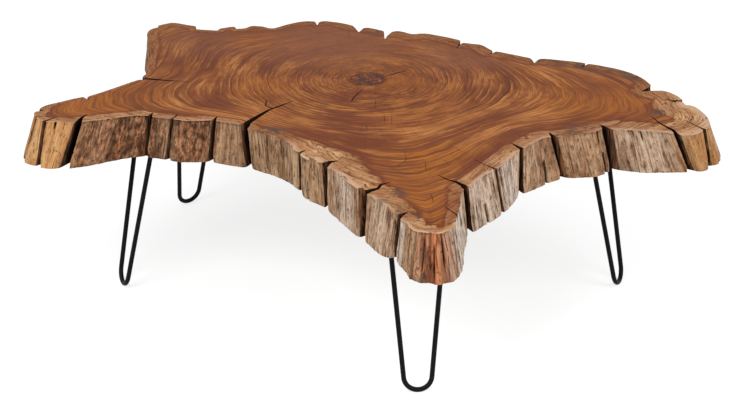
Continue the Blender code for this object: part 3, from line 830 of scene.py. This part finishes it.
def eatenIn(rim, z, splits):
    # how far furrows, torn wood and splits cut into the wall at one height
    spots = rim["top"][:, :2]
    eaten = np.array([furrowDepth(x, y, z, bark) for (x, y), bark in zip(spots, rim["bark"])])
    across, down, depth = slab["gash"]
    gash = [depth * max(0.0, noise.noise((x * across, y * across, z * down))) ** 0.5 for x, y in spots]
    eaten += rim["torn"] * (1 - rim["deep"]) * np.array(gash)
    for run, upper, lower in splits:
        ends = min(upper - z, z - lower) / slab["splitRunOut"]
        eaten += run * max(0.0, min(1.0, ends))
    return eaten * (1 - slab["crackCalm"] * rim["deep"])


def rowDrops(height):
    # how far each row of the wall lies below the top face
    drops = list(slab["edgeRows"])
    while drops[-1] + slab["row"] < height - slab["footClear"]:
        drops.append(drops[-1] + slab["row"])
    return np.array(drops + [height - up for up in slab["footRows"]])


def wallRows(rim):
    # places of the points of the wall, row by row
    top, lean, deep, mouth, height = (rim[key] for key in ("top", "lean", "deep", "mouth", "height"))
    scale, least, added = slab["wear"]
    worn = np.array([least + added * max(0.0, noise.noise((x * scale, y * scale, 3.0)))
                     for x, y in top[:, :2]])
    splits = splitRuns(top, lean, rim["step"])
    corner = slab["corner"] * np.exp(-mouth / slab["cornerRun"])
    ease = 0.5 * np.exp(-mouth / slab["heel"])[:, None]
    low, high = (np.array(end[:2]) for end in cadBox)
    rim["drops"] = rowDrops(height)
    rows = []
    furrows = []
    turns = 0
    for drop in rim["drops"]:
        rise = height - drop
        # sawn edge at the top, rougher edge underneath, and the wall a little proud so that furrows even out
        inward = slab["lip"] * worn * (1.5 - 0.5 * deep) * np.clip(1 - drop / slab["lipRun"], 0, 1) ** 2
        inward += slab["foot"] * worn * np.clip(1 - rise / slab["footRun"], 0, 1) ** 2
        inward += corner - slab["proud"] * (1 - deep)
        eaten = eatenIn(rim, rim["zTop"] - drop, splits)
        inward += eaten * (smooth(0.0, slab["furrowRun"], drop) * 0.85 + 0.15)
        spot = top + lean * (drop / height)
        spot[:, :2] -= rim["outward"] * inward[:, None]
        for turn in range(int(slab["heelTurns"] * max(0.0, 1 - rise / slab["heelRise"]) ** 2)):
            between = (np.roll(spot, 1, axis=0) + np.roll(spot, -1, axis=0)) / 2
            spot[:, :2] += ease * (between - spot)[:, :2]
        turns = max(turns, untangle(spot))
        spot[:, :2] = np.clip(spot[:, :2], low + slab["boxClear"], high - slab["boxClear"])
        rows.append(spot)
        furrows.append(eaten)
    rim["furrows"] = np.array(furrows)
    print("wall:", len(rows), "rows, untangled in", turns, "turns")
    return rows


def extruded(bm, edges):
    # extrudes a ring of edges, and gives the new faces, the far ring and its points
    geom = bmesh.ops.extrude_edge_only(bm, edges=edges)["geom"]
    verts = {g for g in geom if isinstance(g, bmesh.types.BMVert)}
    far = [g for g in geom if isinstance(g, bmesh.types.BMEdge) and all(v in verts for v in g.verts)]
    return [g for g in geom if isinstance(g, bmesh.types.BMFace)], far, verts


def filled(bm, edges, up, beauty=True):
    # flat faces between rings of edges
    geom = bmesh.ops.triangle_fill(bm, use_beauty=beauty, edges=edges, normal=(0, 0, up))["geom"]
    return [g for g in geom if isinstance(g, bmesh.types.BMFace)]


def extrudeWall(bm, column, loop, rows, deep):
    # the rim goes down row by row
    for vert in loop:
        vert.co = rows[0][vert[column]]
    topEdges = edges = bm.edges[:]
    for row in rows[1:]:
        faces, edges, verts = extruded(bm, edges)
        for vert in verts:
            vert.co = row[vert[column]]
    for face in bm.faces:
        inside = all(deep[v[column]] > 0.5 for v in face.verts)
        face.material_index = slabFinish["crack" if inside else "wall"]
    return topEdges, edges


def slitRings(bm, zTop):
    # a ring of edges round the mouth of each slit, and points along their middles
    slits = []
    middles = []
    for path, width, depth in slab["slits"]:
        line = [Vector((x, y, zTop)) for x, y in path]
        sides = []
        for k in range(1, len(line) - 1):
            ahead = (line[k + 1] - line[k - 1]).normalized()
            sides.append((line[k], Vector((-ahead.y, ahead.x, 0)) * width / 2))
        ring = [line[0]] + [s + w for s, w in sides] + [line[-1]] + [s - w for s, w in reversed(sides)]
        ring = [bm.verts.new(spot) for spot in ring]
        slits.append(([bm.edges.new((a, b)) for a, b in zip(ring[-1:] + ring[:-1], ring)], depth))
        for a, b in zip(line[:-1], line[1:]):
            middles += [tuple(a.lerp(b, k / 20).xy) for k in range(21)]
    return slits, middles


def closeFaces(bm, column, outline, topEdges, lowerEdges, zTop):
    # the top face with its slits, and the underside
    slits, middles = slitRings(bm, zTop)
    facets, gridEdges = gridInside(bm, outline, [tuple(spot) for spot in outline] + middles, zTop)
    mouths = [e for ring, depth in slits for e in ring]
    upper = filled(bm, topEdges + mouths + gridEdges, 1)
    lower = filled(bm, lowerEdges, -1)
    for faces, finish in ((upper, "top"), (lower, "under")):
        for face in faces:
            face.material_index = slabFinish[finish]
    for ring, depth in slits:
        faces, floor, verts = extruded(bm, ring)
        bmesh.ops.translate(bm, vec=(0, 0, -depth), verts=list(verts))
        for face in faces + filled(bm, floor, 1, beauty=False):
            face.material_index = slabFinish["crack"]
            for vert in face.verts:
                vert[column] = inSlit
    bmesh.ops.recalc_face_normals(bm, faces=bm.faces[:])
    print("caps:", len(facets), "and", len(upper), "on top,", len(lower), "under")


def buildSlab():
    bm, flare, column = startRim(frameOutlines(slab["node"]))
    evenRim(bm, flare)
    loop = clockwise(bm.edges[:])
    for i, vert in enumerate(loop):
        vert[column] = i
    top = np.array([v.co for v in loop])
    lean = np.array([v[flare] for v in loop])
    step = np.linalg.norm(np.roll(top[:, :2], -1, axis=0) - top[:, :2], axis=1)
    outward = outwardWays(top[:, :2], 2)
    deep = crackColumns(top[:, :2], outward, step)
    print("rim:", len(loop), "columns,", int((deep > 0.5).sum()), "in cracks")
    rim = {
        "top": top,
        "lean": lean,
        "step": step,
        "outward": outward,
        "deep": deep,
        "mouth": alongToMouth(deep, step),
        "zTop": top[0, 2],
        "height": -lean[0, 2],
        "bark": towards(top, slab["bark"]) * (1 - deep),
        "grey": towards(top, slab["grey"]),
        "fresh": towards(top, slab["fresh"]),
        "torn": towards(top, slab["torn"]),
    }
    rows = wallRows(rim)
    topEdges, lowerEdges = extrudeWall(bm, column, loop, rows, deep)
    closeFaces(bm, column, rows[0][:, :2], topEdges, lowerEdges, rim["zTop"])
    return finishSlab(bm, column, rim)


topWood = {
    "rings": 38,                     # broad growth rings from pith to rim
    "fineRings": 63,                 # thin dark lines between them
    "wave": (4.5, 0.050),            # slow waver of the rings: scale, amount
    "ripple": (24.0, 0.010),         # quick waver of the rings
    # patterns that follow the rings: spread round the trunk, tightness across, detail, roughness
    "broad": (1.8, 14.0, 3.0, 0.55),
    "streak": (3.5, 60.0, 3.0, 0.6),
    "hair": (9.0, 330.0, 2.0, 0.55),
    "rays": (55.0, 5.0, 3.0, 0.55),
    "licks": (26.0, 9.0, 3.0, 0.55),     # flame figure, whose light streaks are partly a painted sheen
    "strong": (2.6, 7.0, 2.0, 0.55),     # where the late lines are strong
    "bright": (4.2, 13.0, 2.0, 0.55),    # where the early wood is bright
    "drawn": (5.0, 17.0, 2.0, 0.55),     # where the thin lines show
    "opened": (7.0, 42.0, 3.0, 0.55),    # dry sapwood, opened along the rings
    "heartSize": 0.040,              # radius of the dark heart
    "heartRag": (40.0, 0.020),       # its ragged edge: scale, amount
    # tones
    "dark": (0.130, 0.034, 0.011),
    "middle": (0.255, 0.080, 0.020),
    "light": (0.450, 0.180, 0.050),
    "golden": (0.345, 0.108, 0.013),
    # light tone of the flame streaks, partly a painted sheen
    "flame": (0.480, 0.195, 0.042),
    # greyer brown laid over the back of the top as a painted sheen
    "paintedSheen": (0.228, 0.097, 0.063),
    "russet": (0.135, 0.032, 0.013),
    "line": (0.060, 0.014, 0.006),
    "pith": (0.066, 0.022, 0.016),
    "sap": (0.310, 0.140, 0.062),
    "sapPale": (0.580, 0.340, 0.170),
    # pale band right at the top edge: a painted highlight
    "lip": (0.600, 0.410, 0.280),
    "stain": (0.078, 0.052, 0.040),
    # surface
    "sheen": 0.46,                   # roughness of the polished wood
    "sapDull": 0.30,                 # and how much rougher sapwood is
    "shine": 0.03,
    "relief": 0.0005,
}


def ringPattern(tree):
    # what the figure follows: place, distance and bearing from the pith, and ring
    flat = vectorCalc(tree, "MULTIPLY", objectSpot(tree), (1, 1, 0))
    fromPith = vectorCalc(tree, "SUBTRACT", flat, (*slab["pith"], 0))
    bearing = tree.nodes.new("ShaderNodeSeparateXYZ")
    feed(tree, bearing.inputs[0], vectorCalc(tree, "NORMALIZE", fromPith, (0, 0, 0)))
    ring = attribute(tree, "ring")
    for scale, amount in (topWood["wave"], topWood["ripple"]):
        ring = plus(tree, centred(tree, grain(tree, flat, scale, 2.0)), amount, ring)
    radius = vectorCalc(tree, "LENGTH", fromPith, (0, 0, 0))
    return {"flat": flat, "radius": radius, "ring": ring,
            "east": bearing.outputs["X"], "north": bearing.outputs["Y"]}


def figure(tree, pattern, name):
    # small spread and great tightness give streaks round the trunk, the reverse gives rays
    spread, tight, detail, rough = topWood[name]
    vector = joined(tree, times(tree, pattern["east"], spread), times(tree, pattern["north"], spread),
                    times(tree, pattern["ring"], tight))
    return grain(tree, vector, 1.0, detail, rough)


def ringPhase(tree, ring, count):
    # how far through its ring each place is, and a number for each ring
    turns = calc(tree, "MULTIPLY", ring, count)
    seed = tree.nodes.new("ShaderNodeTexWhiteNoise")
    seed.noise_dimensions = "1D"
    feed(tree, seed.inputs["W"], calc(tree, "FLOOR", turns))
    return calc(tree, "FRACT", turns), seed.outputs["Value"]


def heartwood(tree, pattern):
    # colour of the polished wood, and its late lines
    faint = calc(tree, "MAXIMUM", attribute(tree, "faintFigureAndSheen"), attribute(tree, "plain"))
    clear = fade(tree, faint, 0.0, 1.0, 1.0, 0.30)

    # each ring darkens to a late line, some strong and some lost, and starts with bright early wood
    phase, seed = ringPhase(tree, pattern["ring"], topWood["rings"])
    late = times(tree, fade(tree, phase, 0.70, 0.92), fade(tree, phase, 1.0, 0.96),
                 fade(tree, seed, 0.15, 0.90, 0.25, 1.0),
                 fade(tree, figure(tree, pattern, "strong"), 0.36, 0.58, 0.35, 1.0), clear)
    early = times(tree, fade(tree, phase, 0.0, 0.06), fade(tree, phase, 0.30, 0.08),
                  fade(tree, figure(tree, pattern, "bright"), 0.42, 0.56), clear)
    phase, seed = ringPhase(tree, pattern["ring"], topWood["fineRings"])
    fine = times(tree, fade(tree, phase, 0.80, 0.91), fade(tree, phase, 1.0, 0.96),
                 fade(tree, seed, 0.30, 0.95, 0.0, 0.85),
                 fade(tree, figure(tree, pattern, "drawn"), 0.40, 0.56, 0.15, 1.0), clear)

    tone = plus(tree, figure(tree, pattern, "broad"), 0.58, times(tree, pattern["streak"], 0.42))
    tone = plus(tree, centred(tree, grain(tree, pattern["flat"], 8.5, 4.0, 0.6)), 0.22, tone)
    tone = plus(tree, centred(tree, tone), clear, 0.5)
    colour = ramp(tree, tone, [(0.40, topWood["dark"]), (0.52, topWood["middle"]), (0.65, topWood["light"])])
    layers = [
        (times(tree, early, 0.75), "light"),
        (times(tree, attribute(tree, "golden"), fade(tree, tone, 0.40, 0.60, 0.2, 0.9)), "golden"),
        # flame figure: lighter streaks across the rings, partly figure and partly a painted sheen of its
        # shimmer
        (times(tree, attribute(tree, "flame"),
               fade(tree, figure(tree, pattern, "licks"), 0.50, 0.62, 0.0, 0.85)), "flame"),
        (times(tree, attribute(tree, "russet"), fade(tree, tone, 0.58, 0.43, 0.0, 0.9)), "russet"),
        # painted sheen: the back of the top turns greyer, as glancing light would make it
        (times(tree, attribute(tree, "faintFigureAndSheen"), 0.45), "paintedSheen"),
        (late, "line"),
        (fine, "line"),
        (fade(tree, pattern["hair"], 0.44, 0.62, 0.0, 0.60), "dark"),
        (fade(tree, figure(tree, pattern, "rays"), 0.54, 0.72, 0.0, 0.16), "line"),
    ]
    for share, name in layers:
        colour = blendColour(tree, share, colour, topWood[name])
    return colour, late


def darkHeart(tree, pattern, colour):
    # mottled pith inside a dark line
    flat, size = pattern["flat"], topWood["heartSize"]
    scale, amount = topWood["heartRag"]
    heart = plus(tree, centred(tree, grain(tree, flat, scale, 3.0)), amount, pattern["radius"])
    mottle = fade(tree, grain(tree, flat, 55.0, 4.0, 0.6, 1.5), 0.50, 0.64)
    pith = blendColour(tree, mottle, topWood["pith"], topWood["middle"])
    colour = blendColour(tree, fade(tree, heart, size, size - 0.004), colour, pith)
    halo = times(tree, fade(tree, heart, size - 0.006, size - 0.002), fade(tree, heart, size + 0.005, size))
    return blendColour(tree, times(tree, halo, 0.7), colour, topWood["line"])


def sapwood(tree, pattern, colour):
    # dry sapwood along the rim, pale in places, behind a dark line
    flat = pattern["flat"]
    edge = plus(tree, centred(tree, grain(tree, flat, 17.0, 4.0, 0.6)), 0.6, attribute(tree, "edge"))
    edge = plus(tree, centred(tree, pattern["streak"]), 0.8, edge)
    sap = fade(tree, edge, 1.08, 0.88)
    border = times(tree, fade(tree, edge, 0.94, 1.05), fade(tree, edge, 1.45, 1.08), 0.85)
    colour = blendColour(tree, border, colour, topWood["russet"])

    cloud = grain(tree, flat, 30.0, 4.0, 0.65)
    fibre = grain(tree, flat, 120.0, 4.0, 0.65)
    opened = calc(tree, "ABSOLUTE", centred(tree, figure(tree, pattern, "opened")))
    layers = [
        (times(tree, attribute(tree, "pale"), fade(tree, cloud, 0.36, 0.58, 0.35, 1.0)), "sapPale"),
        (fade(tree, pattern["streak"], 0.51, 0.62, 0.0, 0.60), "dark"),
        (fade(tree, pattern["hair"], 0.46, 0.62, 0.0, 0.60), "russet"),
        (fade(tree, fibre, 0.50, 0.66, 0.0, 0.50), "russet"),
        # painted highlight: pale places turn paler still right at the top edge
        (times(tree, fade(tree, attribute(tree, "edge"), 0.30, 0.05), attribute(tree, "pale"), 0.7), "lip"),
        (times(tree, fade(tree, opened, 0.022, 0.006), fade(tree, cloud, 0.44, 0.56, 0.0, 0.85)), "line"),
    ]
    dry = topWood["sap"]
    for share, name in layers:
        dry = blendColour(tree, share, dry, topWood[name])
    colour = blendColour(tree, times(tree, sap, 0.92), colour, dry)
    stain = times(tree, attribute(tree, "stain"), fade(tree, cloud, 0.40, 0.56), fade(tree, edge, 1.7, 1.1))
    return blendColour(tree, stain, colour, topWood["stain"]), sap, fibre


def topWoodMaterial():
    made, tree, shader = startMaterial("slab_top_wood")
    pattern = ringPattern(tree)
    for name in ("streak", "hair"):
        pattern[name] = figure(tree, pattern, name)
    colour, late = heartwood(tree, pattern)
    colour = darkHeart(tree, pattern, colour)
    colour, sap, fibre = sapwood(tree, pattern, colour)
    tree.links.new(colour, shader.inputs["Base Color"])
    rough = plus(tree, sap, topWood["sapDull"], topWood["sheen"])
    rough = plus(tree, centred(tree, pattern["streak"]), 0.18, rough)
    tree.links.new(rough, shader.inputs["Roughness"])
    shader.inputs["Specular IOR Level"].default_value = topWood["shine"]
    height = plus(tree, late, -0.5, times(tree, pattern["hair"], 0.4))
    height = plus(tree, times(tree, sap, fibre), 2.5, height)
    bumped(tree, shader, height, topWood["relief"])
    return made


wallWood = {
    # patterns: stretch down the wall, scale, detail, roughness
    "fibre": (0.05, 330.0, 3.0, 0.6),
    "strand": (0.09, 95.0, 5.0, 0.65),
    "broad": (0.25, 26.0, 3.0, 0.55),
    "mottle": (0.45, 150.0, 5.0, 0.70),
    "patch": (0.48, 80.0, 5.0, 0.68),
    "rip": (0.16, 95.0, 5.0, 0.62, 0.9),     # torn wood, twisted
    "dusk": (0.7, 34.0, 4.0, 0.6),           # dark places in the bark
    "checks": (0.03, 60.0, 2.0, 0.5),        # thin dark lines where the wall has dried
    "speck": (0.35, 240.0, 3.0, 0.6),
    "dust": (0.08, 150.0, 4.0, 0.6),         # inside cracks
    # tones
    "dark": (0.060, 0.028, 0.014),
    "middle": (0.292, 0.154, 0.079),
    "light": (0.568, 0.374, 0.224),
    "greyDark": (0.230, 0.150, 0.105),
    "greyLight": (0.720, 0.590, 0.490),
    "ochreDark": (0.220, 0.085, 0.028),
    "ochre": (0.450, 0.205, 0.072),
    "ochreLight": (0.600, 0.345, 0.155),
    "torn": (0.322, 0.094, 0.036),
    "tornLight": (0.490, 0.205, 0.096),
    "barkRed": (0.265, 0.098, 0.043),
    "barkLight": (0.465, 0.238, 0.122),
    # near-black bark, also laid into the furrows as painted shade
    "bark": (0.034, 0.015, 0.008),
    # near-black painted shade inside cracks and slits
    "crack": (0.013, 0.007, 0.004),
    # dark brown of the wood inside a crack, darkened as painted shade
    "shadedCrackWood": (0.095, 0.046, 0.025),
    # surface
    "rough": 0.88,
    "shine": 0.12,
    "relief": 0.0024,
    "crackRough": 0.95,
    "crackShine": 0.05,
    "crackRelief": 0.001,
}


def downGrain(tree, vector, name):
    # noise drawn out down the wall
    stretch, *rest = wallWood[name]
    return grain(tree, stretched(tree, vector, (1, 1, stretch)), *rest)


def wallTones(tree, value, *stops):
    return ramp(tree, value, [(place, wallWood[name]) for place, name in stops])


def wallWoodMaterial():
    made, tree, shader = startMaterial("slab_wall_wood")
    spot = attribute(tree, "start", "Vector")
    fibre, strand, broad, mottle, patch, rip, dusk, checks, speck = (
        downGrain(tree, spot, name)
        for name in ("fibre", "strand", "broad", "mottle", "patch", "rip", "dusk", "checks", "speck"))
    tone = times(tree, strand, 0.28)
    for value, amount in ((fibre, 0.22), (broad, 0.18), (patch, 0.32)):
        tone = plus(tree, value, amount, tone)
    bark = attribute(tree, "bark")
    torn = attribute(tree, "torn")
    colour = wallTones(tree, tone, (0.40, "dark"), (0.46, "middle"), (0.57, "light"))
    layers = [
        (attribute(tree, "grey"),
         wallTones(tree, tone, (0.38, "dark"), (0.44, "greyDark"), (0.52, "greyLight"))),
        (attribute(tree, "fresh"),
         wallTones(tree, tone, (0.39, "ochreDark"), (0.47, "ochre"), (0.58, "ochreLight"))),
        (torn, wallTones(tree, rip, (0.39, "bark"), (0.45, "torn"), (0.61, "tornLight"))),
        (times(tree, bark, fade(tree, broad, 0.30, 0.52, 0.55, 1.0)),
         wallTones(tree, mottle, (0.38, "barkLight"), (0.50, "barkRed"), (0.62, "bark"))),
        (times(tree, bark, fade(tree, dusk, 0.50, 0.64, 0.0, 0.65)), wallWood["bark"]),
    ]
    # drying checks that come and go, specks, and painted shade that darkens the furrows with their depth
    check = times(tree, fade(tree, calc(tree, "ABSOLUTE", centred(tree, checks)), 0.012, 0.004),
                  fade(tree, patch, 0.44, 0.56))
    check = calc(tree, "MAXIMUM", check, times(tree, fade(tree, speck, 0.58, 0.68), 0.7))
    furrow = times(tree, fade(tree, attribute(tree, "furrow"), 0.42, 1.1, 0.0, 0.85),
                   fade(tree, torn, 0.0, 1.0, 1.0, 0.6))
    layers += [
        (times(tree, check, 0.85), wallWood["bark"]),
        (furrow, wallWood["bark"]),
        # painted shade: wall facets inside a crack turn nearly black
        (times(tree, attribute(tree, "deep"), 0.95), wallWood["crack"]),
    ]
    for share, over in layers:
        colour = blendColour(tree, share, colour, over)
    tree.links.new(colour, shader.inputs["Base Color"])
    shader.inputs["Roughness"].default_value = wallWood["rough"]
    shader.inputs["Specular IOR Level"].default_value = wallWood["shine"]
    height = plus(tree, strand, 0.6, times(tree, fibre, 0.4))
    height = plus(tree, times(tree, mottle, bark), -1.2, height)
    height = plus(tree, check, -0.6, height)
    bumped(tree, shader, height, wallWood["relief"])
    return made


def crackMaterial():
    # the inside of cracks and slits: painted shade, black away from the mouth, mottled by a dust pattern
    made, tree, shader = startMaterial("slab_crack")
    dust = downGrain(tree, objectSpot(tree), "dust")
    wood = wallTones(tree, dust, (0.38, "crack"), (0.50, "shadedCrackWood"), (0.64, "barkRed"))
    # painted shade: black deepens away from the crack's mouth, and slit floors are black
    dark = fade(tree, attribute(tree, "inside"), 0.08, 0.70)
    tree.links.new(blendColour(tree, dark, wood, wallWood["crack"]), shader.inputs["Base Color"])
    shader.inputs["Roughness"].default_value = wallWood["crackRough"]
    shader.inputs["Specular IOR Level"].default_value = wallWood["crackShine"]
    bumped(tree, shader, dust, wallWood["crackRelief"])
    return made


underWood = {
    "dark": (0.160, 0.085, 0.045),
    "light": (0.330, 0.200, 0.115),
    "ringScale": 90.0,
    "waver": 0.05,                   # how far the rings waver
    "sawMarks": 220.0,               # scale of the marks of the saw
    "rough": 0.8,
    "relief": 0.0008,
}


def underWoodMaterial():
    made, tree, shader = startMaterial("slab_under_wood")
    spot = objectSpot(tree)
    fromPith = vectorCalc(tree, "SUBTRACT", vectorCalc(tree, "MULTIPLY", spot, (1, 1, 0)), (*slab["pith"], 0))
    radius = vectorCalc(tree, "LENGTH", fromPith, (0, 0, 0))
    ring = plus(tree, grain(tree, spot, 6.0, 3.0), underWood["waver"], radius)
    rings = grain(tree, joined(tree, times(tree, ring, underWood["ringScale"]), 0.0, 0.0), 1.0, 2.0)
    saw = grain(tree, stretched(tree, spot, (1, 0.03, 1)), underWood["sawMarks"], 2.0)
    tone = plus(tree, rings, 0.6, times(tree, saw, 0.4))
    colour = ramp(tree, tone, [(0.35, underWood["dark"]), (0.65, underWood["light"])])
    tree.links.new(colour, shader.inputs["Base Color"])
    shader.inputs["Roughness"].default_value = underWood["rough"]
    bumped(tree, shader, saw, underWood["relief"])
    return made


slabPiece = buildSlab()
for finish in (topWoodMaterial(), wallWoodMaterial(), underWoodMaterial(), crackMaterial()):
    slabPiece.data.materials.append(finish)
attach(slabPiece, "root")
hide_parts("slab")


# hairpin legs and their hardware

legs = {
    "coat": (0.0045, 0.0045, 0.0050),
    "coatRough": 0.5,
    "screw": (0.05, 0.05, 0.052),
    "screwRough": 0.35,
    "shine": 0.08,
    "peel": (900.0, 0.00012),        # fine dimples of the coat: scale, height
    "cloud": (30.0, 1.8, 0.16),      # uneven places: scale, how much lighter and rougher
    "plateEdge": 0.0005,             # rounding of the edges of a plate
    "flatAngle": math.radians(1),    # edges flatter than this are dissolved
    "sharpAngle": math.radians(40),  # edges sharper than this are rounded
    "shadeAngle": math.radians(42),  # edges sharper than this stay sharp in the shading
}


def coatMaterial(name, colour, rough):
    made, tree, shader = startMaterial(name)
    spot = objectSpot(tree)
    scale, lighter, rougher = legs["cloud"]
    cloud = grain(tree, spot, scale, 3.0)
    pale = tuple(min(1.0, lighter * c) for c in colour)
    coat = blendColour(tree, fade(tree, cloud, 0.4, 0.7, 0.0, 0.5), colour, pale)
    tree.links.new(coat, shader.inputs["Base Color"])
    tree.links.new(plus(tree, cloud, rougher, rough - rougher / 2), shader.inputs["Roughness"])
    shader.inputs["Specular IOR Level"].default_value = legs["shine"]
    scale, height = legs["peel"]
    bumped(tree, shader, grain(tree, spot, scale, 2.0), height)
    return made


def softCopy(node, name, finish, rounding):
    # a copy of a frame node with its sharp edges eased
    bm = bmesh.new()
    bm.from_mesh(frame["nodes"][node].data)
    bmesh.ops.remove_doubles(bm, verts=bm.verts[:], dist=1e-6)
    bm.normal_update()
    shared = [e for e in bm.edges if len(e.link_faces) == 2]
    flat = [e for e in shared if e.calc_face_angle(0.0) < legs["flatAngle"]]
    bmesh.ops.dissolve_edges(bm, edges=flat, use_verts=False)
    if rounding:
        shared = [e for e in bm.edges if len(e.link_faces) == 2]
        sharp = [e for e in shared if e.calc_face_angle(0.0) > legs["sharpAngle"]]
        bmesh.ops.bevel(bm, geom=sharp, offset=rounding, segments=2, profile=0.5, affect="EDGES",
                        material=-1, clamp_overlap=True)
    mesh = bpy.data.meshes.new(name)
    bm.to_mesh(mesh)
    bm.free()
    mesh.materials.append(finish)
    mesh.shade_smooth()
    mesh.set_sharp_from_angle(angle=legs["shadeAngle"])
    made = bpy.data.objects.new(name, mesh)
    scene.collection.objects.link(made)
    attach(made, "root")
    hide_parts(node)
    return made


coat = coatMaterial("black_powder_coat", legs["coat"], legs["coatRough"])
for node in sorted(frame["nodes"]):
    if node.startswith(("leg_", "plate_", "weld_")):
        rounding = legs["plateEdge"] if node.startswith("plate_") else 0
        softCopy(node, node + "_coated", coat, rounding)
screwFinish = coatMaterial("blackened_screw", legs["screw"], legs["screwRough"])
for node in sorted(frame["nodes"]):
    if node.startswith("screw_"):
        softCopy(node, node + "_head", screwFinish, 0)
print("legs and hardware done")


# floor, light and camera

studio = {
    "floorSize": 40.0,
    "floorTone": 0.34,
    "floorGlow": 0.74,               # what the camera sees of the floor beside the light on it
    "world": 0.62,                   # light from all round
    "lamps": [("key_light", (-2.2, -2.8, 3.6), 2.6, 140.0), ("fill_light", (3.0, -2.0, 2.6), 2.4, 88.0)],
    "lampAim": (0, 0, 0.4),
    "aim": (0.0002, 0.4571, 0.0),
    "distance": 4.75,
    "pitch": math.radians(25),
    "sensor": 36.0,
    "focalPixels": 1915,             # focal length and width of the photo in pixels
    "photoPixels": 744,
}


def seenStraight(tree):
    # 1 where the camera, a reflection or glass looks at the surface
    path = tree.nodes.new("ShaderNodeLightPath")
    seen = calc(tree, "MAXIMUM", path.outputs["Is Camera Ray"], path.outputs["Is Glossy Ray"])
    return calc(tree, "MAXIMUM", seen, path.outputs["Is Transmission Ray"])


def floorMaterial():
    made = bpy.data.materials.new("pale_floor")
    made.use_nodes = True
    tree = made.node_tree
    tree.nodes.clear()
    out = tree.nodes.new("ShaderNodeOutputMaterial")
    matt = tree.nodes.new("ShaderNodeBsdfDiffuse")
    feed(tree, matt.inputs["Color"], (studio["floorTone"],) * 3)
    glow = tree.nodes.new("ShaderNodeEmission")
    feed(tree, glow.inputs["Strength"], times(tree, seenStraight(tree), studio["floorGlow"]))
    both = tree.nodes.new("ShaderNodeAddShader")
    tree.links.new(matt.outputs[0], both.inputs[0])
    tree.links.new(glow.outputs[0], both.inputs[1])
    tree.links.new(both.outputs[0], out.inputs["Surface"])
    return made


def buildFloor():
    bm = bmesh.new()
    bmesh.ops.create_grid(bm, x_segments=1, y_segments=1, size=studio["floorSize"] / 2)
    mesh = bpy.data.meshes.new("floor")
    bm.to_mesh(mesh)
    bm.free()
    mesh.materials.append(floorMaterial())
    floor = bpy.data.objects.new("floor", mesh)
    scene.collection.objects.link(floor)


def buildLight():
    world = bpy.data.worlds.new("studio")
    world.use_nodes = True
    scene.world = world
    tree = world.node_tree
    back = tree.nodes["Background"]
    back.inputs["Color"].default_value = (1, 1, 1, 1)
    feed(tree, back.inputs["Strength"], fade(tree, seenStraight(tree), 0.0, 1.0, studio["world"], 1.0))
    for name, place, size, power in studio["lamps"]:
        lamp = bpy.data.lights.new(name, "AREA")
        lamp.shape = "DISK"
        lamp.size = size
        lamp.energy = power
        holder = bpy.data.objects.new(name, lamp)
        holder.location = place
        way = Vector(studio["lampAim"]) - Vector(place)
        holder.rotation_euler = way.to_track_quat("-Z", "Y").to_euler()
        scene.collection.objects.link(holder)


def buildCamera():
    lens = bpy.data.cameras.new("photo_camera")
    lens.sensor_fit = "HORIZONTAL"
    lens.sensor_width = studio["sensor"]
    lens.lens = studio["sensor"] * studio["focalPixels"] / studio["photoPixels"]
    lens.clip_end = 100.0
    camera = bpy.data.objects.new("photo_camera", lens)
    back = Vector((0, -math.cos(studio["pitch"]), math.sin(studio["pitch"])))
    camera.location = Vector(studio["aim"]) + back * studio["distance"]
    camera.rotation_euler = (math.pi / 2 - studio["pitch"], 0, 0)
    scene.collection.objects.link(camera)
    scene.camera = camera


buildFloor()
buildLight()
buildCamera()
print("studio done")
bpy.context.view_layer.update()
